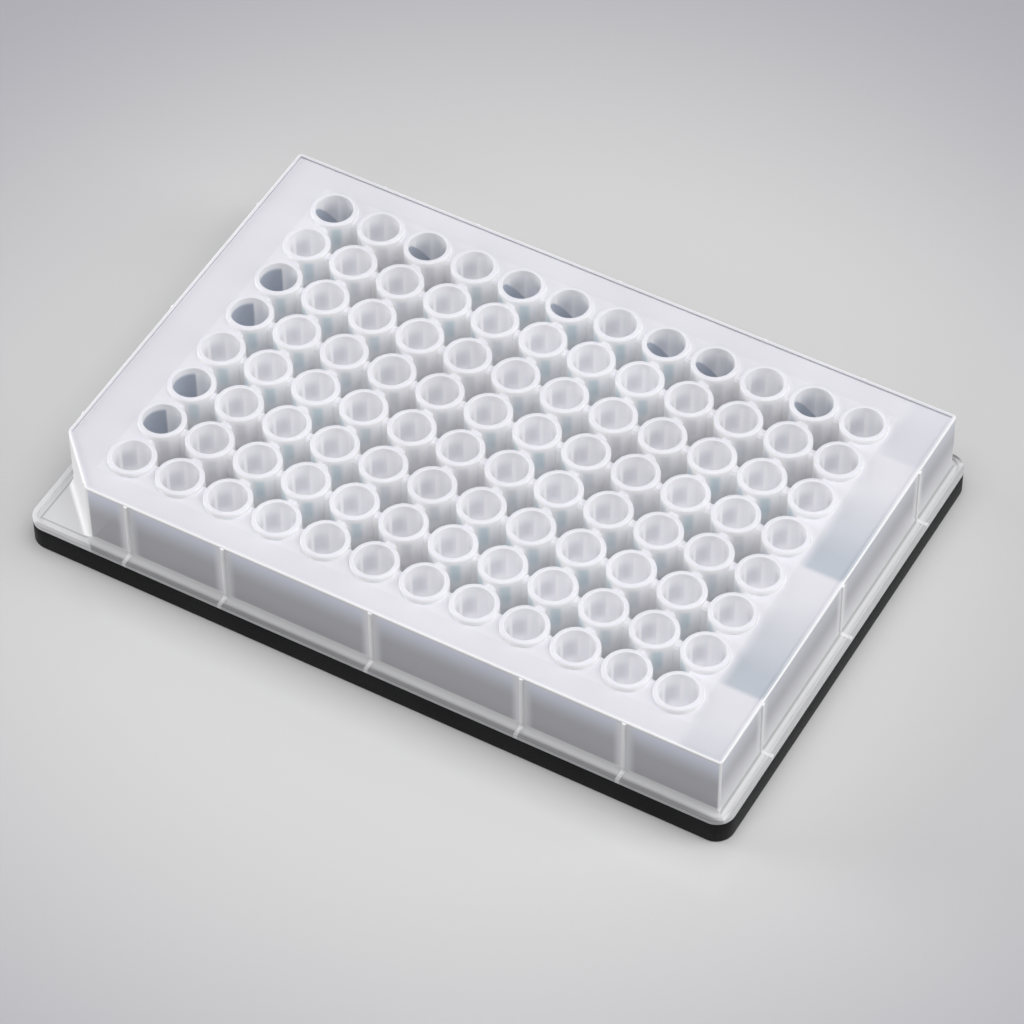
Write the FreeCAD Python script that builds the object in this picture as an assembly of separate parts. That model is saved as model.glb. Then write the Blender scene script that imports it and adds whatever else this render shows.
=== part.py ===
import FreeCAD, Part
import math
import os

from FreeCAD import Vector

# A 96-well plate: one translucent moulding of round tubes, webs, deck, ribs, walls and
# flange, seated in a separate black base frame. Millimetres, +Z up. The origin is the
# middle of the underside of the base frame; +X runs along the twelve columns.

# Well grid, and how far the footprint reaches beyond the outer wells' centres
columns = 12
rows = 8
pitch = 9.0
column_1_to_edge = 14.38
row_a_to_edge = 11.24
footprint_corner = 3.18

# Base frame
base_height = 4.4
base_edge_chamfer = 0.3
base_shelf = 3.0            # how far the frame reaches in under the plate's skirt
seat_depth = 1.0            # how far the plate's skirt drops into the frame
seat_side_clearance = 0.15
seat_floor_clearance = 0.1

# Plate body
plate_height = 14.35        # underside of the skirt to the well rims
ledge_width = 2.15          # flange beyond the upright walls
flange_thickness = 0.6      # at the ledge, above the base frame
bead_width = 0.9            # raised edge round the flange
bead_height = 0.3
wall_fillet = 1.2           # between the upright walls and the ledge, where it has room
fillet_to_bead = 0.05       # least flat left beside the bead
wall_thickness = 1.2
wall_corner = 0.6
notch = 9.0                 # cut corner at well H1
deck_below_rim = 0.95
deck_thickness = 1.2
lip_width = 0.6             # thin raised lip round the deck
lip_height = 0.4

# Wells
bore_diameter = 6.4
tube_wall = 0.8
well_depth = 10.9
floor_thickness = 1.0

# Webs between the tubes, and ribs from the outer tubes to the walls
web_thickness = 2.0
web_height = 8.0
rib_thickness = 0.9
rib_above_skirt = 3.2       # the ribs' lower ends, above the underside of the skirt
ridge_proud = 0.25          # the ribs' ridges on the outside of the walls
ridge_thickness = 0.7
long_side_ribs = (0, 3, 5)  # in pitches from the middle, both ways
short_side_ribs = (0, 3)

# The grid of wells, from its outer centres, and the footprint round it
grid_x = pitch * (columns - 1)
grid_y = pitch * (rows - 1)
footprint_length = grid_x + 2 * column_1_to_edge
footprint_width = grid_y + 2 * row_a_to_edge
tube_diameter = bore_diameter + 2 * tube_wall

# Levels, from the floor up
skirt_z = base_height - seat_depth
rim_z = skirt_z + plate_height
deck_z = rim_z - deck_below_rim
ledge_z = base_height + flange_thickness

body_length = footprint_length - 2 * ledge_width
body_width = footprint_width - 2 * ledge_width


def rounded_box(length, width, radius, z0, z1):
    """An upright prism on a rectangle with rounded corners."""
    box = Part.makeBox(length, width, z1 - z0, Vector(-length / 2, -width / 2, z0))
    upright = [e for e in box.Edges if abs(e.tangentAt(e.FirstParameter).z) > 0.99]
    return box.makeFillet(radius, upright)


def notched_outline(inset, z):
    """The body's outline, moved in by inset all round, with the cut corner at H1."""
    x = body_length / 2 - inset
    y = body_width / 2 - inset
    cut = notch - inset * (2 - math.sqrt(2))
    corners = [
        Vector(-x + cut, -y, z),
        Vector(x, -y, z),
        Vector(x, y, z),
        Vector(-x, y, z),
        Vector(-x, -y + cut, z),
    ]
    return Part.makePolygon(corners + [corners[0]])


def notched_prism(inset, z0, z1):
    """An upright prism on the notched outline, its corners rounded where there is room."""
    prism = Part.Face(notched_outline(inset, z0)).extrude(Vector(0, 0, z1 - z0))
    radius = wall_corner - inset
    if radius < 0.1:
        return prism
    upright = [e for e in prism.Edges if abs(e.tangentAt(e.FirstParameter).z) > 0.99]
    return prism.makeFillet(radius, upright)


def well_centres():
    """The centre of each well, row by row."""
    xs = [pitch * i - grid_x / 2 for i in range(columns)]
    ys = [pitch * j - grid_y / 2 for j in range(rows)]
    return [(x, y) for y in ys for x in xs]


def tube_blank():
    """The outside of one tube, from its rim down past the well's floor."""
    length = well_depth + floor_thickness
    return Part.makeCylinder(tube_diameter / 2, length, Vector(0, 0, rim_z - length))


def well_bore():
    """The space inside one well."""
    return Part.makeCylinder(bore_diameter / 2, well_depth, Vector(0, 0, rim_z - well_depth))


def at_each_well(shape):
    copies = []
    for x, y in well_centres():
        copy = shape.copy()
        copy.translate(Vector(x, y, 0))
        copies.append(copy)
    return copies


def plate_walls():
    """The upright walls with the deck's margin and its lip, open below and in the middle."""
    walls = notched_prism(0, skirt_z, deck_z + lip_height)
    walls = walls.cut(notched_prism(lip_width, deck_z, deck_z + lip_height + 1))
    walls = walls.cut(notched_prism(wall_thickness, skirt_z - 1, deck_z - deck_thickness))
    middle = Part.makeBox(grid_x, grid_y, deck_thickness + 2,
                          Vector(-grid_x / 2, -grid_y / 2, deck_z - deck_thickness - 1))
    return walls.cut(middle)


def flange():
    """The ledge round the foot of the walls, with a raised bead along its edge."""
    ledge = rounded_box(footprint_length, footprint_width, footprint_corner,
                        base_height, ledge_z + bead_height)
    inner_corner = footprint_corner - bead_width
    ledge = ledge.cut(rounded_box(footprint_length - 2 * bead_width,
                                  footprint_width - 2 * bead_width,
                                  inner_corner, ledge_z, ledge_z + bead_height + 1))
    return ledge.cut(notched_prism(wall_thickness / 2, base_height - 1, rim_z))


def filleted_at_foot(shell):
    """The shell with a fillet where its upright walls meet the ledge."""
    foot = []
    for edge in shell.Edges:
        box = edge.BoundBox
        flat = abs(box.ZMin - ledge_z) < 0.001 and abs(box.ZMax - ledge_z) < 0.001
        inside = (box.XMax < body_length / 2 + 0.01 and box.XMin > -body_length / 2 - 0.01
                  and box.YMax < body_width / 2 + 0.01 and box.YMin > -body_width / 2 - 0.01)
        if flat and inside:
            foot.append(edge)
    room = ledge_width - bead_width - fillet_to_bead
    return shell.makeFillet(min(wall_fillet, room), foot)


def webs():
    """The walls that join each tube to its neighbours, their tops level with the deck."""
    z = deck_z - web_height
    made = []
    for j in range(rows):
        y = pitch * j - grid_y / 2
        made.append(Part.makeBox(grid_x, web_thickness, web_height,
                                 Vector(-grid_x / 2, y - web_thickness / 2, z)))
    for i in range(columns):
        x = pitch * i - grid_x / 2
        made.append(Part.makeBox(web_thickness, grid_y, web_height,
                                 Vector(x - web_thickness / 2, -grid_y / 2, z)))
    return made


def rib_shapes(from_middle, half_grid, half_body):
    """One rib that runs out along +X from the outer web, its ridge outside, and its toe."""
    low = skirt_z + rib_above_skirt
    under_deck = deck_z - deck_thickness / 2
    in_wall = half_body - wall_thickness / 2
    rib = Part.makeBox(in_wall - half_grid, rib_thickness, under_deck - low,
                       Vector(half_grid, from_middle - rib_thickness / 2, low))
    ridge = Part.makeBox(wall_thickness / 2 + ridge_proud, ridge_thickness,
                         deck_z + lip_height - ledge_z,
                         Vector(in_wall, from_middle - ridge_thickness / 2, ledge_z))
    toe = Part.makeBox(wall_thickness / 2 + ledge_width - bead_width / 2, ridge_thickness,
                       bead_height,
                       Vector(in_wall, from_middle - ridge_thickness / 2, ledge_z))
    return [rib, ridge, toe]


def wall_ribs():
    """Ribs under the deck from the outer webs to all four walls, each with a ridge outside."""
    made = []
    sides = [
        (short_side_ribs, grid_x / 2, body_length / 2, (0, 180)),
        (long_side_ribs, grid_y / 2, body_width / 2, (90, 270)),
    ]
    for steps, half_grid, half_body, turns in sides:
        for step in sorted(set(steps) | {-n for n in steps}):
            for turn in turns:
                for piece in rib_shapes(step * pitch, half_grid, half_body):
                    piece.rotate(Vector(0, 0, 0), Vector(0, 0, 1), turn)
                    made.append(piece)
    return made


def well_plate():
    """The whole translucent moulding as one solid."""
    shell = filleted_at_foot(plate_walls().fuse(flange()).removeSplitter())
    lattice = webs() + wall_ribs() + at_each_well(tube_blank())
    whole = shell.fuse(lattice)
    whole = whole.cut(at_each_well(well_bore()))
    return whole.removeSplitter()


def base_frame():
    """The black frame: a rebate for the plate's skirt above a shelf, open in the middle."""
    frame = rounded_box(footprint_length, footprint_width, footprint_corner, 0, base_height)
    low_edges = [e for e in frame.Edges if e.BoundBox.ZMax < 0.001]
    frame = frame.makeChamfer(base_edge_chamfer, low_edges)
    seat_z = skirt_z - seat_floor_clearance
    frame = frame.cut(notched_prism(-seat_side_clearance, seat_z, base_height + 1))
    return frame.cut(notched_prism(base_shelf, -1, base_height + 1))


def check_one_solid(name, shape):
    print(name, "solids", len(shape.Solids), "valid", shape.isValid(),
          "volume", round(shape.Volume), "faces", len(shape.Faces))


def main():
    os.makedirs("parts", exist_ok=True)
    nodes = {"well_plate": well_plate(), "base_frame": base_frame()}
    for name, shape in nodes.items():
        solid = shape.Solids[0] if len(shape.Solids) == 1 else shape
        check_one_solid(name, solid)
        solid.exportStep("parts/" + name + ".step")


main()
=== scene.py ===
import math

import bmesh
import bpy
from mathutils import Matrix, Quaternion, Vector


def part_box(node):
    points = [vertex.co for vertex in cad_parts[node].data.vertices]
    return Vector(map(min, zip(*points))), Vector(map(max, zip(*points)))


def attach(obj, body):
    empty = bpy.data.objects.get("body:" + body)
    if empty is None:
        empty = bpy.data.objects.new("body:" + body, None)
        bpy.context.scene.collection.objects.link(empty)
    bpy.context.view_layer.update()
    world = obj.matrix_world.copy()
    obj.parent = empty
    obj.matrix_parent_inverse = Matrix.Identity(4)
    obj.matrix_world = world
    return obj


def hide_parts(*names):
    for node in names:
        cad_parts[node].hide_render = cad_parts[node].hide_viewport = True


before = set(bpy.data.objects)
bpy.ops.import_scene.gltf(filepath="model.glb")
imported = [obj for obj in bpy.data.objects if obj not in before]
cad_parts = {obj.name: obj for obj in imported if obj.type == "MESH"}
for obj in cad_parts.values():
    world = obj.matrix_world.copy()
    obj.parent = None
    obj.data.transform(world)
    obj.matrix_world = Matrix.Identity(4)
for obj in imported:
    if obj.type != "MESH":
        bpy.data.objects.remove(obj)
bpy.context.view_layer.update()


# ---------------------------------------------------------------------------
# Plate walls and deck. The real plate is one shot of natural polypropylene: upright walls
# under a flat deck, one corner cut off at well H1, and a ledge round the foot that lies on
# the black frame. Here the shell is made first, and its tubes and ribs are joined to it.
# ---------------------------------------------------------------------------

mm = 0.001
plate_low, plate_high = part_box("well_plate")
frame_low, frame_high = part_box("base_frame")
rim_z = plate_high.z
skirt_z = plate_low.z
ledge_underside = frame_high.z

footprint_corner = 3.18 * mm
ledge_width = 2.15 * mm
ledge_thickness = 0.6 * mm
bead_width = 0.9 * mm
bead_height = 0.3 * mm
bead_round = 0.12 * mm
ledge_z = ledge_underside + ledge_thickness
wall_half_length = plate_high.x - ledge_width
wall_half_width = plate_high.y - ledge_width
wall_thickness = 1.2 * mm
wall_corner = 0.6 * mm
foot_fillet = 1.2 * mm
cut_corner = 9.0 * mm
deck_below_rim = 0.95 * mm
deck_z = rim_z - deck_below_rim
deck_thickness = 1.2 * mm
lip_width = 0.6 * mm
lip_height = 0.4 * mm
lip_round = 0.22 * mm
hollow_curve = 0.086        # the bevel profile of a hollow quarter round
past = 1.0 * mm             # how far a cutting block runs past what it cuts
close = 0.01 * mm           # how near a height an edge has to be to lie at it


def block(name, low, high):
    """A plain block between two corners, to be shaped. Its object stays at the origin."""
    bpy.ops.object.select_all(action="DESELECT")
    low, high = Vector(low), Vector(high)
    bpy.ops.mesh.primitive_cube_add(size=1, location=(low + high) / 2, scale=high - low)
    bpy.ops.object.transform_apply(location=True, rotation=True, scale=True)
    piece = bpy.context.object
    piece.name = name
    return piece


def edit(piece, kind, chosen):
    """Opens the piece for editing with only the vertices, edges or faces that chosen picks."""
    bpy.ops.object.select_all(action="DESELECT")
    piece.select_set(True)
    bpy.context.view_layer.objects.active = piece
    bpy.ops.object.mode_set(mode="EDIT")
    bpy.ops.mesh.select_mode(type=kind)
    bpy.ops.mesh.select_all(action="DESELECT")
    shape = bmesh.from_edit_mesh(piece.data)
    for part in {"VERT": shape.verts, "EDGE": shape.edges, "FACE": shape.faces}[kind]:
        part.select_set(bool(chosen(part)))
    bmesh.update_edit_mesh(piece.data)


def done():
    bpy.ops.object.mode_set(mode="OBJECT")


def round_edges(piece, chosen, radius, segments, profile=0.5):
    """Bevels the edges that chosen picks."""
    edit(piece, "EDGE", chosen)
    bpy.ops.mesh.bevel(offset=radius, segments=segments, profile=profile, affect="EDGES",
                       clamp_overlap=False)
    done()


def upright(edge):
    """True for an edge that stands straight up."""
    a, b = (v.co for v in edge.verts)
    return abs(a.z - b.z) > 0.9 * (a - b).length


def level(z):
    """Picks the edges that lie flat at height z."""
    return lambda edge: all(abs(v.co.z - z) < close for v in edge.verts)


def join_in(piece, other, how):
    """Joins another block to the piece, or cuts it out, and uses the other block up."""
    change = piece.modifiers.new(how.lower(), "BOOLEAN")
    change.operation = how
    change.solver = "MANIFOLD"
    change.object = other
    bpy.ops.object.select_all(action="DESELECT")
    bpy.context.view_layer.objects.active = piece
    bpy.ops.object.modifier_apply(modifier=change.name)
    bpy.data.objects.remove(other, do_unlink=True)


def body_block(name, inset, z0, z1, corner_segments=5):
    """A block on the outline of the walls moved in by inset, its corner at H1 cut off."""
    x = wall_half_length - inset
    y = wall_half_width - inset
    piece = block(name, (-x, -y, z0), (x, y, z1))
    cut = cut_corner - inset * (2 - math.sqrt(2))
    edit(piece, "FACE", lambda face: True)
    bpy.ops.mesh.bisect(plane_co=(-x + cut, -y, z0), plane_no=(-1, -1, 0),
                        use_fill=True, clear_outer=True)
    done()
    radius = wall_corner - inset
    if radius > 0.1 * mm:
        round_edges(piece, upright, radius, corner_segments)
    return piece


plate = body_block("plate_moulding", 0, skirt_z, deck_z + lip_height)
round_edges(plate, level(deck_z + lip_height), lip_round, 3)

ledge = block("ledge", (plate_low.x, plate_low.y, ledge_underside),
              (plate_high.x, plate_high.y, ledge_z + bead_height))
round_edges(ledge, upright, footprint_corner, 12)
edit(ledge, "FACE", lambda face: face.normal.z > 0.9)
bpy.ops.mesh.inset(thickness=bead_width)
bpy.ops.mesh.extrude_region_move(TRANSFORM_OT_translate={"value": (0, 0, -bead_height)})
done()
round_edges(ledge, level(ledge_z + bead_height), bead_round, 3)
join_in(plate, ledge, "UNION")

fillet_ring = body_block("fillet_ring", -foot_fillet, ledge_underside + 0.2 * mm,
                         ledge_z + foot_fillet, corner_segments=8)
round_edges(fillet_ring, level(ledge_z + foot_fillet), foot_fillet, 6,
            profile=hollow_curve)
join_in(plate, fillet_ring, "UNION")

hollow = body_block("hollow", wall_thickness, skirt_z - past, deck_z - deck_thickness)
join_in(plate, hollow, "DIFFERENCE")

recess = body_block("recess", lip_width, deck_z, deck_z + lip_height + past)
join_in(plate, recess, "DIFFERENCE")


# ---------------------------------------------------------------------------
# Wells, with the webs that tie them. Ninety-six tubes stand on a 9 mm grid, each with a
# rounded rim, a slight draft and a filleted floor. Webs join each to its neighbours, and
# between them the plate is open right down.
# ---------------------------------------------------------------------------

columns = 12
rows = 8
pitch = 9.0 * mm
grid_x = pitch * (columns - 1)
grid_y = pitch * (rows - 1)
bore_radius = 3.2 * mm
bore_foot_radius = 3.1 * mm
tube_radius = 4.0 * mm
well_depth = 10.9 * mm
tube_length = 11.9 * mm
rim_outer_round = 0.3 * mm
rim_inner_round = 0.22 * mm
floor_round = 0.6 * mm
web_thickness = 2.0 * mm
web_height = 8.0 * mm
web_round = 0.6 * mm
tube_sides = 40


def repeated(piece):
    """Sets copies of a shape made at well H1 over the whole grid."""
    for count, step in ((columns, (pitch, 0, 0)), (rows, (0, pitch, 0))):
        copies = piece.modifiers.new("copies", "ARRAY")
        copies.use_relative_offset = False
        copies.use_constant_offset = True
        copies.constant_offset_displace = step
        copies.count = count
        bpy.context.view_layer.objects.active = piece
        bpy.ops.object.modifier_apply(modifier=copies.name)
    return piece


def round_bar(name, radius, z0, z1):
    """An upright round bar at well H1."""
    bpy.ops.object.select_all(action="DESELECT")
    bpy.ops.mesh.primitive_cylinder_add(
        vertices=tube_sides, radius=radius, depth=z1 - z0,
        location=(-grid_x / 2, -grid_y / 2, (z0 + z1) / 2))
    bpy.ops.object.transform_apply(location=True, rotation=True, scale=True)
    piece = bpy.context.object
    piece.name = name
    return piece


def well_tubes():
    tube = round_bar("tubes", tube_radius, rim_z - tube_length, rim_z)
    round_edges(tube, level(rim_z), rim_outer_round, 3)
    round_edges(tube, level(rim_z - tube_length), floor_round, 2)
    return repeated(tube)


def well_bores():
    """What is cut out of the tubes: a bore that flares at the rim and narrows to its floor."""
    floor_z = rim_z - well_depth
    bore = round_bar("bores", bore_radius, floor_z, rim_z - rim_inner_round)
    middle = Vector((-grid_x / 2, -grid_y / 2, 0))
    steps = 4
    reached = bore_radius
    for step in range(1, steps + 1):
        turn = math.pi / 2 * step / steps
        before = math.pi / 2 * (step - 1) / steps
        wider = bore_radius + rim_inner_round * (1 - math.cos(turn))
        rise = rim_inner_round * (math.sin(turn) - math.sin(before))
        edit(bore, "FACE", lambda face: face.normal.z > 0.9)
        bpy.ops.mesh.extrude_region_move(TRANSFORM_OT_translate={"value": (0, 0, rise)})
        bpy.ops.transform.resize(value=(wider / reached, wider / reached, 1),
                                 center_override=middle)
        done()
        reached = wider
    edit(bore, "FACE", lambda face: face.normal.z > 0.9)
    bpy.ops.mesh.extrude_region_move(TRANSFORM_OT_translate={"value": (0, 0, past)})
    done()
    narrower = bore_foot_radius / bore_radius
    edit(bore, "FACE", lambda face: face.normal.z < -0.9)
    bpy.ops.transform.resize(value=(narrower, narrower, 1), center_override=middle)
    done()
    round_edges(bore, level(floor_z), floor_round, 4)
    return repeated(bore)


def joined(pieces):
    """Several blocks that don't touch, as one object."""
    bpy.ops.object.select_all(action="DESELECT")
    for piece in pieces:
        piece.select_set(True)
    bpy.context.view_layer.objects.active = pieces[0]
    bpy.ops.object.join()
    return bpy.context.object


def web_bars(along_x):
    """The webs of one direction, their tops level with the deck and slightly rounded."""
    count, reach = (rows, grid_x) if along_x else (columns, grid_y)
    bars = []
    for step in range(count):
        across = pitch * (step - (count - 1) / 2)
        low = (-reach / 2, across - web_thickness / 2)
        high = (reach / 2, across + web_thickness / 2)
        if not along_x:
            low, high = (low[1], low[0]), (high[1], high[0])
        bar = block("web", (*low, deck_z - web_height), (*high, deck_z))
        round_edges(bar, level(deck_z), web_round, 3)
        bars.append(bar)
    return joined(bars)


window = block("window", (-grid_x / 2, -grid_y / 2, deck_z - deck_thickness - past),
               (grid_x / 2, grid_y / 2, deck_z + past))
join_in(plate, window, "DIFFERENCE")
join_in(plate, web_bars(True), "UNION")
join_in(plate, web_bars(False), "UNION")


# ---------------------------------------------------------------------------
# Ribs. Under the deck a rib runs from an outer tube to the wall at each stiffened place.
# Outside, in line with it, the wall carries a narrow ridge, whose toe crosses the ledge to
# the bead. All are part of the same moulding.
# ---------------------------------------------------------------------------

rib_thickness = 0.9 * mm
rib_above_skirt = 3.2 * mm
ridge_proud = 0.25 * mm
ridge_thickness = 0.7 * mm
ridge_round = 0.15 * mm
ridge_below_lip = 0.3 * mm
long_side_ribs = (-5, -3, 0, 3, 5)      # in pitches from the middle
short_side_ribs = (-3, 0, 3)


def turned(piece, quarter_turns):
    """Turns a rib made on the +X side round to another side of the plate."""
    bpy.ops.object.select_all(action="DESELECT")
    piece.select_set(True)
    bpy.context.view_layer.objects.active = piece
    piece.rotation_euler.z = quarter_turns * math.pi / 2
    bpy.ops.object.transform_apply(location=True, rotation=True, scale=True)
    return piece


def rib_set(make):
    """One shape for each rib, on all four sides, as one object."""
    made = []
    sides = (
        (short_side_ribs, grid_x / 2, wall_half_length, (0, 2)),
        (long_side_ribs, grid_y / 2, wall_half_width, (1, 3)),
    )
    for steps, half_grid, half_wall, turns in sides:
        for step in steps:
            for turn in turns:
                made.append(turned(make(step * pitch, half_grid, half_wall), turn))
    return joined(made)


def inner_rib(from_middle, half_grid, half_wall):
    return block("rib",
                 (half_grid, from_middle - rib_thickness / 2, skirt_z + rib_above_skirt),
                 (half_wall - wall_thickness / 2, from_middle + rib_thickness / 2,
                  deck_z - deck_thickness / 2))


def outer_ridge(from_middle, half_grid, half_wall):
    half = ridge_thickness / 2
    face_x = half_wall + ridge_proud
    piece = block("ridge", (half_wall - wall_thickness / 2, from_middle - half, ledge_z),
                  (face_x, from_middle + half, deck_z + lip_height - ridge_below_lip))
    round_edges(piece, lambda edge: upright(edge) and edge.verts[0].co.x > half_wall,
                ridge_round, 2)
    return piece


def ridge_toe(from_middle, half_grid, half_wall):
    half = ridge_thickness / 2
    foot_x = half_wall + ledge_width - bead_width / 2
    piece = block("toe", (half_wall - wall_thickness / 2, from_middle - half,
                          ledge_z - bead_height / 2),
                  (foot_x, from_middle + half, ledge_z + bead_height))
    round_edges(piece, level(ledge_z + bead_height), ridge_round, 2)
    return piece


for make in (inner_rib, outer_ridge, ridge_toe):
    join_in(plate, rib_set(make), "UNION")
join_in(plate, well_tubes(), "UNION")
join_in(plate, well_bores(), "DIFFERENCE")


# ---------------------------------------------------------------------------
# Natural polypropylene of the plate: milky, slightly lavender and satin. Its tints by place
# are mostly painted light and shade: painted light along webs, ribs and edges, painted shade
# over the hollows, on the walls and in creases; the ledge is also greyer over the black frame.
# ---------------------------------------------------------------------------

# Painted light and shade: tube_tint is the plastic's own colour, and the tints after it paint
# light and shade by place. The ledge and fillet tints are also greyed by the black frame under
# them.
tube_tint = (0.97, 0.965, 0.985, 1)
bore_tint = (0.92, 0.92, 0.945, 1)
bore_shade_tint = (0.74, 0.74, 0.775, 1)
# Painted light along the webs, painted shade in the hollows between the tubes.
streak_light_tint = (0.985, 0.98, 0.99, 1)
hollow_shade_tint = (0.80, 0.80, 0.835, 1)
cool_hollow_shade_tint = (0.68, 0.76, 0.80, 1)
# Painted shade where the shaded space under the deck would show through a well.
under_deck_shade_tint = (0.46, 0.50, 0.57, 1)
# Painted shade: faces that look up are painted darker than the tubes' sides.
top_tint = (0.79, 0.78, 0.83, 1)
rim_tint = (0.805, 0.795, 0.86, 1)
deck_tint = (0.75, 0.74, 0.79, 1)
shaded_deck_tint = (0.50, 0.535, 0.59, 1)
# Wall tints: painted light and shade on the panels, by end and height.
wall_top_tint = (0.79, 0.82, 0.93, 1)
end_top_tint = (0.66, 0.685, 0.74, 1)
wall_foot_tint = (0.51, 0.51, 0.54, 1)
end_foot_tint = (0.80, 0.80, 0.83, 1)
# Painted light beside the ribs and painted highlights on the edges.
near_rib_light_tint = (0.86, 0.86, 0.89, 1)
edge_highlight_tint = (0.985, 0.98, 0.995, 1)
# Painted shade on the lip's inner face.
lip_inside_shade_tint = (0.50, 0.50, 0.54, 1)
# Fillet and ledge: greyer over the black frame, with painted light in the end tints.
fillet_tint = (0.66, 0.66, 0.67, 1)
end_fillet_tint = (0.76, 0.76, 0.77, 1)
ledge_tint = (0.50, 0.50, 0.51, 1)
end_ledge_tint = (0.74, 0.74, 0.75, 1)
# Painted shade and the black frame under the bead, as a dark line.
frame_and_crease_shade_tint = (0.26, 0.26, 0.265, 1)


def new_material(name):
    """A material with its tree and its Principled shader."""
    material = bpy.data.materials.new(name)
    material.use_nodes = True
    tree = material.node_tree
    shader = tree.nodes["Principled BSDF"]
    return material, tree, shader


def node(tree, kind, **settings):
    made = tree.nodes.new(kind)
    for key, value in settings.items():
        setattr(made, key, value)
    return made


def feed(tree, value, socket):
    """Links an output to a socket, or writes a plain number or colour in it."""
    if isinstance(value, bpy.types.NodeSocket):
        tree.links.new(value, socket)
    else:
        socket.default_value = value


def calc(tree, operation, *values):
    made = node(tree, "ShaderNodeMath", operation=operation)
    for value, socket in zip(values, made.inputs):
        feed(tree, value, socket)
    return made.outputs["Value"]


def ramp(tree, value, start, end, low=0.0, high=1.0, smooth=True):
    """Goes from low to high while the value goes from start to end, and stays there."""
    made = node(tree, "ShaderNodeMapRange")
    if smooth:
        made.interpolation_type = "SMOOTHSTEP"
    feed(tree, value, made.inputs["Value"])
    for name, number in (("From Min", start), ("From Max", end), ("To Min", low),
                         ("To Max", high)):
        made.inputs[name].default_value = number
    return made.outputs["Result"]


def blend_colour(tree, share, first, second):
    made = node(tree, "ShaderNodeMix", data_type="RGBA")
    feed(tree, share, made.inputs["Factor"])
    feed(tree, first, made.inputs["A"])
    feed(tree, second, made.inputs["B"])
    return made.outputs["Result"]


def bumped(tree, height, strength, distance, shader):
    """Gives the shader a fine relief."""
    bump = node(tree, "ShaderNodeBump")
    bump.inputs["Strength"].default_value = strength
    bump.inputs["Distance"].default_value = distance
    feed(tree, height, bump.inputs["Height"])
    feed(tree, bump.outputs["Normal"], shader.inputs["Normal"])


def mottle_group():
    """Soft cloud and fine grain, for any moulded plastic."""
    tree = bpy.data.node_groups.new("moulded_mottle", "ShaderNodeTree")
    for name, default in (("Cloud Scale", 60.0), ("Grain Scale", 3000.0)):
        socket = tree.interface.new_socket(name, in_out="INPUT",
                                           socket_type="NodeSocketFloat")
        socket.default_value = default
    for name in ("Cloud", "Grain"):
        tree.interface.new_socket(name, in_out="OUTPUT", socket_type="NodeSocketFloat")
    inside = node(tree, "NodeGroupInput")
    outside = node(tree, "NodeGroupOutput")
    place = node(tree, "ShaderNodeTexCoord")
    for name in ("Cloud", "Grain"):
        noise = node(tree, "ShaderNodeTexNoise")
        noise.inputs["Detail"].default_value = 0.0
        tree.links.new(place.outputs["Object"], noise.inputs["Vector"])
        tree.links.new(inside.outputs[name + " Scale"], noise.inputs["Scale"])
        tree.links.new(noise.outputs["Fac"], outside.inputs[name])
    return tree


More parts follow.
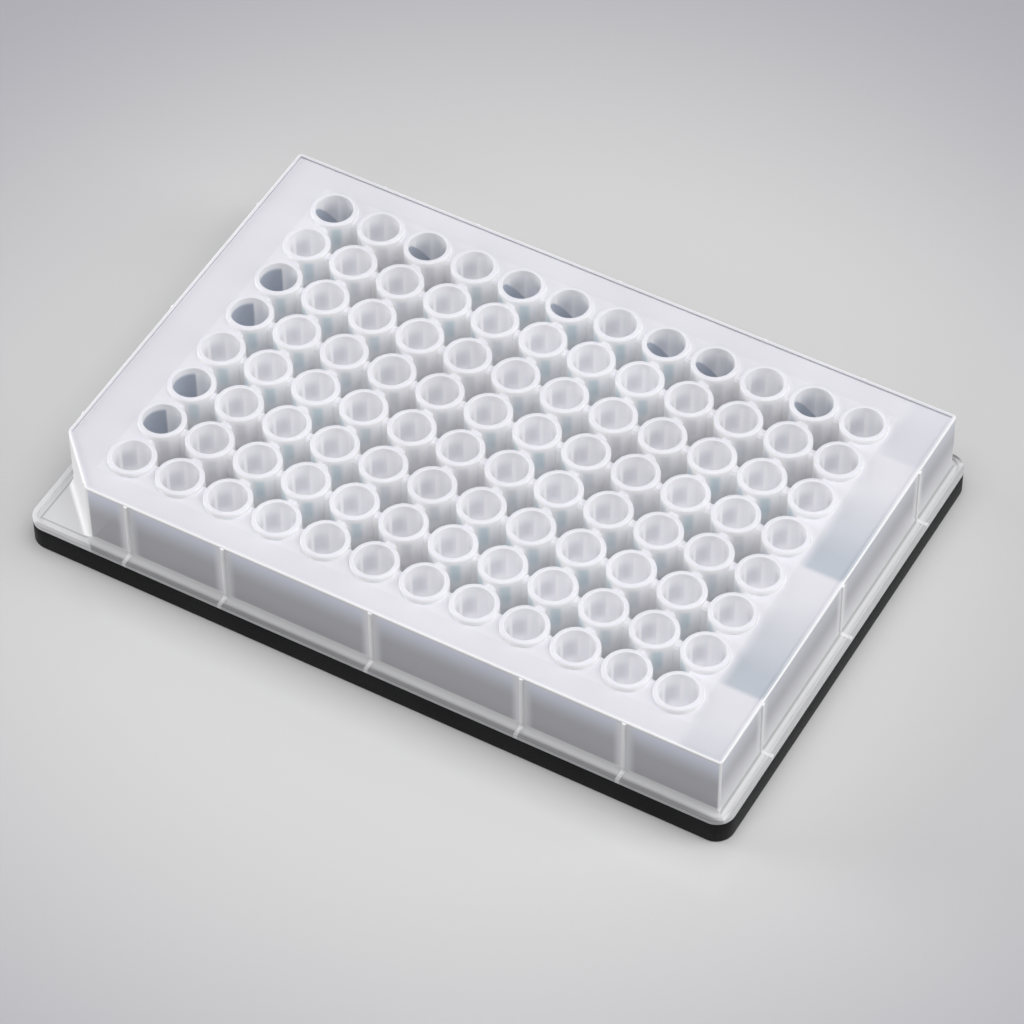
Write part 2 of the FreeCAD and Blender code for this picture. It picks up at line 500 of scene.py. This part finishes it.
def light_and_shade_masks():
    """Masks for the plate's tints by place, most of them for painted light and painted shade.
    """
    tree = bpy.data.node_groups.new("plate_painted_light_and_shade", "ShaderNodeTree")
    outside = node(tree, "NodeGroupOutput")

    def put_out(name, mask):
        tree.interface.new_socket(name, in_out="OUTPUT", socket_type="NodeSocketFloat")
        feed(tree, mask, outside.inputs[name])

    def fade(value, start, end, low=0.0, high=1.0, smooth=True):
        return ramp(tree, value, start, end, low, high, smooth)

    def plus(a, b):
        return calc(tree, "ADD", a, b)

    def minus(a, b):
        return calc(tree, "SUBTRACT", a, b)

    def times(a, b):
        return calc(tree, "MULTIPLY", a, b)

    def over(a, b):
        return calc(tree, "DIVIDE", a, b)

    def unsigned(a):
        return calc(tree, "ABSOLUTE", a)

    def larger(a, b):
        return calc(tree, "MAXIMUM", a, b)

    def smaller(a, b):
        return calc(tree, "MINIMUM", a, b)

    def all_of(*masks):
        """Where every mask holds."""
        held = masks[0]
        for mask in masks[1:]:
            held = times(held, mask)
        return held

    def from_nearest(value, steps):
        """How far the value is from the nearest rib, with ribs that many pitches both ways."""
        nearest = None
        for step in steps:
            away = unsigned(minus(unsigned(value), step * pitch))
            nearest = away if nearest is None else smaller(nearest, away)
        return nearest

    # Where the point is: below the deck, past the grid of wells, past the outside of the
    # walls and past the cut corner. All are negative on the near side.
    place = node(tree, "ShaderNodeTexCoord")
    split = node(tree, "ShaderNodeSeparateXYZ")
    tree.links.new(place.outputs["Object"], split.inputs["Vector"])
    x, y, z = (split.outputs[axis] for axis in "XYZ")
    from_x = unsigned(x)
    from_y = unsigned(y)
    depth = minus(deck_z, z)
    past_grid = larger(minus(from_x, grid_x / 2), minus(from_y, grid_y / 2))
    past_x = minus(from_x, wall_half_length)
    past_y = minus(from_y, wall_half_width)
    past_wall = larger(past_x, past_y)
    cut_distance = (wall_half_length + wall_half_width - cut_corner) / math.sqrt(2)
    past_cut = minus(over(plus(x, y), -math.sqrt(2)), cut_distance)
    below = fade(depth, 0.05 * mm, 0.35 * mm)

    # The wells. u and v are measured from the middle of the nearest one, and reach is the
    # square of the distance from it.
    u = minus(calc(tree, "WRAP", x, pitch, 0.0), pitch / 2)
    v = minus(calc(tree, "WRAP", y, pitch, 0.0), pitch / 2)
    reach = plus(times(u, u), times(v, v))
    in_grid = fade(past_grid, 4.6 * mm, 4.3 * mm)
    in_bore = all_of(in_grid, fade(reach, (3.38 * mm) ** 2, (3.28 * mm) ** 2))
    # Painted light: the bore's own tint gives way to the paler tube tint between 4 and 6.5 mm
    # down, so the deep bore is lighter. Bore Shade is painted shade towards column 1.
    bore_side = all_of(in_bore, fade(depth, 6.5 * mm, 4.0 * mm))
    put_out("Bore", bore_side)
    put_out("Bore Shade", all_of(bore_side, fade(u, -0.6 * mm, -2.3 * mm),
                                 fade(depth, 0.5 * mm, 3.0 * mm)))

    # Painted light: a pale streak with a duller middle along each web where it meets a tube,
    # for the light the thick plastic carries. Painted shade: between the webs, mostly on the
    # sides that face along the columns, the hollows between the tubes are darker, less so
    # lower down.
    from_web = smaller(unsigned(u), unsigned(v))
    put_out("Streak Light", all_of(fade(from_web, 1.35 * mm, 1.05 * mm),
                             fade(from_web, 0.3 * mm, 0.85 * mm, 0.25), in_grid, below))
    diagonal = over(times(u, v), larger(reach, mm * mm))
    facing_rows = minus(unsigned(v), unsigned(u))
    put_out("Hollow Shade", all_of(fade(unsigned(diagonal), 0.25, 0.45),
                             fade(facing_rows, -0.8 * mm, 0.6 * mm, 0.15),
                             minus(in_grid, in_bore),
                             fade(depth, -0.6 * mm, 0.5 * mm),
                             fade(depth, 5.0 * mm, 2.5 * mm, 0.3)))

    # Painted shade where the shaded space under the deck margin would show through an outer
    # well:
    # on its outer side in column 1, and low down on a slant in row A. Wells with a rib near
    # them are left pale.
    past_rib = calc(tree, "WRAP", y, 3 * pitch, 0.0)
    rib_in_x = from_nearest(x, (0, 3, 5))
    rib_in_y = from_nearest(y, (0, 3))
    in_row_a = fade(y, grid_y / 2 - 3.5 * mm, grid_y / 2 - 3.3 * mm)
    column_1_shade = all_of(in_bore, fade(x, -grid_x / 2 - 1.05 * mm, -grid_x / 2 - 1.4 * mm),
                           fade(past_rib, 18.5 * mm, 17.5 * mm),
                           fade(depth, 0.0, 0.9 * mm), minus(1.0, in_row_a))
    slant = minus(depth, plus(times(u, 1.17), times(v, 0.88)))
    row_a_shade = all_of(in_bore, in_row_a, fade(slant, 4.0 * mm, 4.7 * mm),
                        fade(u, 0.5 * mm, -0.3 * mm), fade(rib_in_x, 3.6 * mm, 4.6 * mm))
    put_out("Under Deck Shade", larger(column_1_shade, row_a_shade))

    # What faces up: webs, rims and the deck's margin, painted darker than the tubes' sides as
    # a painted shade against the overhead lamp. The margin on the side of column 12 has
    # painted shade between the ribs.
    tube_side = all_of(in_grid, fade(reach, (3.86 * mm) ** 2, (3.93 * mm) ** 2),
                       fade(reach, (4.1 * mm) ** 2, (4.04 * mm) ** 2))
    facing_up = minus(1.0, larger(tube_side, in_bore))
    put_out("Top", all_of(facing_up, fade(depth, 0.5 * mm, 0.2 * mm)))
    put_out("Rim", all_of(facing_up, fade(depth, -0.5 * mm, -0.9 * mm)))
    put_out("Deck", all_of(fade(past_grid, 3.9 * mm, 4.4 * mm),
                           fade(depth, 0.1 * mm, 0.02 * mm),
                           fade(depth, -0.2 * mm, -0.1 * mm)))
    put_out("Shaded Deck", all_of(fade(x, grid_x / 2 + 3.6 * mm, grid_x / 2 + 6.0 * mm),
                                  fade(past_rib, 22.0 * mm, 5.0 * mm, smooth=False),
                                  fade(past_rib, 0.0, 1.2 * mm),
                                  fade(depth, 0.1 * mm, 0.0),
                                  fade(y, 28.0 * mm, 26.0 * mm, 0.35)))

    # The walls: painted shade on the panels, darker towards the foot on the long walls and
    # lighter towards the foot at the ends and the cut corner, and painted light beside a rib.
    # Painted highlights make the corners, the ridges with their toes and the lip's edge white.
    put_out("Wall", all_of(fade(past_wall, -1.3 * mm, -1.1 * mm), below))
    put_out("Height", fade(z, ledge_z + 6.0 * mm, deck_z))
    inside_end = fade(past_x, -1.1 * mm, -1.3 * mm)
    from_rib = smaller(rib_in_x, plus(rib_in_y, times(inside_end, 10.0)))
    put_out("Near Rib Light", fade(from_rib, 2.2 * mm, 0.4 * mm))
    end = larger(fade(minus(past_x, past_y), 0.0, 0.3 * mm),
                 fade(past_cut, 0.3 * mm, 0.5 * mm))
    put_out("End", end)
    put_out("End Foot", all_of(end, fade(z, ledge_z + 8.0 * mm, ledge_z + 1.0 * mm)))
    cut_edge = fade(past_cut, -0.45 * mm, -0.25 * mm)
    corner_edge = fade(smaller(past_x, past_y), -0.5 * mm, -0.3 * mm)
    ridge = fade(past_wall, 0.02 * mm, 0.1 * mm)
    lip_edge = all_of(fade(depth, -0.05 * mm, -0.15 * mm),
                      fade(past_wall, -0.28 * mm, -0.2 * mm))
    put_out("Edge Highlight", larger(larger(larger(cut_edge, corner_edge), ridge), lip_edge))
    # Painted shade on the inner face of the lip.
    put_out("Lip Inside Shade", all_of(fade(depth, 0.02 * mm, -0.06 * mm),
                                 fade(depth, -0.38 * mm, -0.3 * mm),
                                 fade(past_wall, -0.72 * mm, -0.66 * mm),
                                 fade(past_wall, -0.5 * mm, -0.56 * mm)))

    # The ledge and the fillet above it, apart from the ridges' toes: greyer over the black
    # frame, with painted light at the ends and the cut corner. The bead is darker still,
    # partly the black frame under it and partly painted shade, at half strength at the right
    # end and the cut corner and not at the left end; a painted shade line also runs along the
    # wall's foot at the ends.
    toe_away = smaller(larger(rib_in_x, times(past_y, -1.0)),
                       larger(rib_in_y, times(past_x, -1.0)))
    low = all_of(fade(z, ledge_z + 1.4 * mm, ledge_z + 0.9 * mm),
                 fade(toe_away, 0.3 * mm, 0.42 * mm, 0.35))
    put_out("Fillet", all_of(low, fade(past_wall, 0.0, 0.15 * mm)))
    put_out("Ledge", all_of(low, larger(fade(past_wall, 0.8 * mm, 1.3 * mm),
                                        fade(past_cut, 0.6 * mm, 1.2 * mm))))
    bead = all_of(fade(past_wall, 1.3 * mm, 1.7 * mm),
                  fade(z, ledge_z + 0.02 * mm, ledge_z + 0.16 * mm),
                  fade(end, 0.0, 1.0, 1.0, 0.5),
                  fade(x, -wall_half_length - 0.6 * mm, -wall_half_length))
    foot_line = all_of(end, fade(past_wall, 0.05 * mm, 0.15 * mm),
                       fade(past_wall, 0.5 * mm, 0.3 * mm, 0.0, 0.5))
    put_out("Frame And Crease Shade", all_of(low, larger(bead, foot_line)))
    return tree


mottle = mottle_group()


def polypropylene():
    material, tree, shader = new_material("natural_polypropylene")
    marks = node(tree, "ShaderNodeGroup", node_tree=mottle)
    cloud = marks.outputs["Cloud"]
    mask_group_node = node(tree, "ShaderNodeGroup", node_tree=light_and_shade_masks())
    painted = mask_group_node.outputs

    # Painted shade in the hollows, cooler in patches.
    gap_shade_tint = blend_colour(tree, ramp(tree, cloud, 0.4, 0.6), hollow_shade_tint, cool_hollow_shade_tint)
    # Painted light and shade on the walls, by end, height and nearness to a rib.
    wall_tint = blend_colour(tree, painted["End"], wall_top_tint, end_top_tint)
    wall_tint = blend_colour(tree, painted["Height"], wall_foot_tint, wall_tint)
    wall_tint = blend_colour(tree, painted["End Foot"], wall_tint, end_foot_tint)
    wall_tint = blend_colour(tree, painted["Near Rib Light"], wall_tint, near_rib_light_tint)
    # Painted light: the fillet and ledge are lighter at the ends and the cut corner.
    foot_tint = blend_colour(tree, painted["End"], fillet_tint, end_fillet_tint)
    flat_tint = blend_colour(tree, painted["End"], ledge_tint, end_ledge_tint)
    # Over the plastic's own tube tint, each layer paints light and shade by place; the ledge
    # and fillet greys also stand for the black frame under them.
    colour = tube_tint
    for mask, tint in (("Bore", bore_tint), ("Bore Shade", bore_shade_tint),
                       ("Streak Light", streak_light_tint), ("Hollow Shade", gap_shade_tint),
                       ("Under Deck Shade", under_deck_shade_tint), ("Top", top_tint), ("Rim", rim_tint),
                       ("Deck", deck_tint), ("Shaded Deck", shaded_deck_tint),
                       ("Wall", wall_tint), ("Edge Highlight", edge_highlight_tint),
                       ("Lip Inside Shade", lip_inside_shade_tint), ("Fillet", foot_tint),
                       ("Ledge", flat_tint), ("Frame And Crease Shade", frame_and_crease_shade_tint)):
        colour = blend_colour(tree, painted[mask], colour, tint)
    mottled = node(tree, "ShaderNodeVectorMath", operation="SCALE")
    feed(tree, colour, mottled.inputs[0])
    feed(tree, ramp(tree, cloud, 0.3, 0.7, 0.97, 1.0), mottled.inputs["Scale"])
    feed(tree, mottled.outputs["Vector"], shader.inputs["Base Color"])
    feed(tree, ramp(tree, cloud, 0.2, 0.8, 0.30, 0.42), shader.inputs["Roughness"])
    bumped(tree, marks.outputs["Grain"], 0.08, 0.02 * mm, shader)
    shader.subsurface_method = "RANDOM_WALK"
    shader.inputs["Subsurface Weight"].default_value = 0.3
    shader.inputs["Subsurface Radius"].default_value = (1.0, 0.95, 0.9)
    shader.inputs["Subsurface Scale"].default_value = 2.0 * mm
    shader.inputs["IOR"].default_value = 1.49
    return material


def shade_smooth(piece):
    """Smooth shading, with the real corners kept sharp."""
    bpy.ops.object.select_all(action="DESELECT")
    piece.select_set(True)
    bpy.context.view_layer.objects.active = piece
    bpy.ops.object.shade_smooth_by_angle(angle=math.radians(35))


plate.data.materials.clear()
plate.data.materials.append(polypropylene())
shade_smooth(plate)
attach(plate, "root")
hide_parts("well_plate")


# ---------------------------------------------------------------------------
# Black base frame: a separate moulding that the plate's skirt drops into. It is open in
# the middle, with a shelf under the skirt and softly broken outer edges.
# ---------------------------------------------------------------------------

shelf_width = 3.0 * mm
seat_side_clearance = 0.15 * mm
seat_floor_clearance = 0.1 * mm
frame_low_round = 0.3 * mm
frame_top_round = 0.25 * mm
black_tint = (0.004, 0.004, 0.0045, 1)
paler_black_tint = (0.008, 0.008, 0.0085, 1)

base = block("base_frame_moulding", frame_low, frame_high)
round_edges(base, upright, footprint_corner, 12)
round_edges(base, level(frame_low.z), frame_low_round, 3)
round_edges(base, level(frame_high.z), frame_top_round, 3)
rebate = body_block("rebate", -seat_side_clearance, skirt_z - seat_floor_clearance,
                    frame_high.z + past)
join_in(base, rebate, "DIFFERENCE")
middle = body_block("middle", shelf_width, frame_low.z - past, frame_high.z + past)
join_in(base, middle, "DIFFERENCE")


def black_plastic():
    material, tree, shader = new_material("black_frame")
    marks = node(tree, "ShaderNodeGroup", node_tree=mottle)
    marks.inputs["Cloud Scale"].default_value = 90.0
    marks.inputs["Grain Scale"].default_value = 2600.0
    tone = ramp(tree, marks.outputs["Cloud"], 0.3, 0.7)
    feed(tree, blend_colour(tree, tone, black_tint, paler_black_tint),
         shader.inputs["Base Color"])
    feed(tree, ramp(tree, marks.outputs["Grain"], 0.0, 1.0, 0.42, 0.56),
         shader.inputs["Roughness"])
    bumped(tree, marks.outputs["Grain"], 0.25, 0.03 * mm, shader)
    shader.inputs["Specular IOR Level"].default_value = 0.13
    return material


base.data.materials.clear()
base.data.materials.append(black_plastic())
shade_smooth(base)
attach(base, "root")
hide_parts("base_frame")


# ---------------------------------------------------------------------------
# Studio: a pale, slightly glossy floor with painted shade that darkens it away from the
# plate, a large soft light overhead, smaller ones at the left, the right and the front, a dim
# sky, and the camera.
# ---------------------------------------------------------------------------

floor_width = 6.0
floor_near_tint = (0.673, 0.672, 0.668, 1)
floor_far_shade_tint = (0.42, 0.412, 0.452, 1)
floor_bounce_tint = (0.45, 0.45, 0.46, 1)
floor_fade_start = 55 * mm
floor_fade_end = 165 * mm
camera_azimuth = math.radians(30.05)
camera_height = math.radians(49.11)
camera_roll = math.radians(0.76)
camera_distance = 0.7667
camera_aim = Vector((5.67, -5.90, 9.0)) * mm

bpy.ops.object.select_all(action="DESELECT")
bpy.ops.mesh.primitive_plane_add(size=floor_width, location=(0, 0, 0))
floor = bpy.context.object
floor.name = "floor"
floor_material, floor_tree, floor_shader = new_material("floor")
rays = node(floor_tree, "ShaderNodeLightPath")
shown = calc(floor_tree, "MAXIMUM", rays.outputs["Is Camera Ray"],
             rays.outputs["Is Glossy Ray"])
ground = node(floor_tree, "ShaderNodeTexCoord")
away = node(floor_tree, "ShaderNodeVectorMath", operation="LENGTH")
feed(floor_tree, ground.outputs["Object"], away.inputs[0])
# Painted shade: the floor darkens away from the plate.
fade = ramp(floor_tree, away.outputs["Value"], floor_fade_start, floor_fade_end)
floor_tint = blend_colour(floor_tree, fade, floor_near_tint, floor_far_shade_tint)
feed(floor_tree, blend_colour(floor_tree, shown, floor_bounce_tint, floor_tint),
     floor_shader.inputs["Base Color"])
floor_shader.inputs["Roughness"].default_value = 0.09
floor.data.materials.append(floor_material)


def soft_light(name, size, place, aim, power):
    lamp = bpy.data.lights.new(name, "AREA")
    lamp.shape = "RECTANGLE"
    lamp.size, lamp.size_y = size
    lamp.energy = power
    holder = bpy.data.objects.new(name, lamp)
    holder.location = place
    holder.rotation_euler = (Vector(aim) - Vector(place)).to_track_quat("-Z", "Y").to_euler()
    bpy.context.scene.collection.objects.link(holder)


soft_light("top_light", (1.2, 1.2), (0.2, 0.0, 1.1), (0, 0, 0), 11.6)
soft_light("left_light", (0.5, 0.5), (-0.9, -0.15, 0.3), (0, 0, 0), 4.6)
soft_light("right_light", (0.6, 0.8), (0.9, 0.35, 0.5), (0, 0, 0), 4.4)
soft_light("front_light", (0.8, 0.5), (0.0, -0.9, 0.45), (0, 0, 0), 1.5)
bpy.context.scene.cycles.max_bounces = 16
bpy.context.scene.cycles.diffuse_bounces = 12

world = bpy.data.worlds.new("studio")
world.use_nodes = True
sky = world.node_tree.nodes["Background"]
sky.inputs["Color"].default_value = (0.93, 0.94, 1.0, 1)
sky.inputs["Strength"].default_value = 0.06
bpy.context.scene.world = world

camera_data = bpy.data.cameras.new("camera")
camera_data.sensor_width = 36.0
camera_data.lens = 168.05
camera = bpy.data.objects.new("camera", camera_data)
bpy.context.scene.collection.objects.link(camera)
towards = Vector((math.sin(camera_azimuth) * math.cos(camera_height),
                  -math.cos(camera_azimuth) * math.cos(camera_height),
                  math.sin(camera_height)))
camera.location = camera_aim + towards * camera_distance
camera.rotation_mode = "QUATERNION"
level_view = (-towards).to_track_quat("-Z", "Y")
camera.rotation_quaternion = level_view @ Quaternion((0, 0, 1), -camera_roll)
camera_data.clip_start = 0.05
camera_data.clip_end = 20
bpy.context.scene.camera = camera

bpy.context.scene.view_settings.view_transform = "Standard"
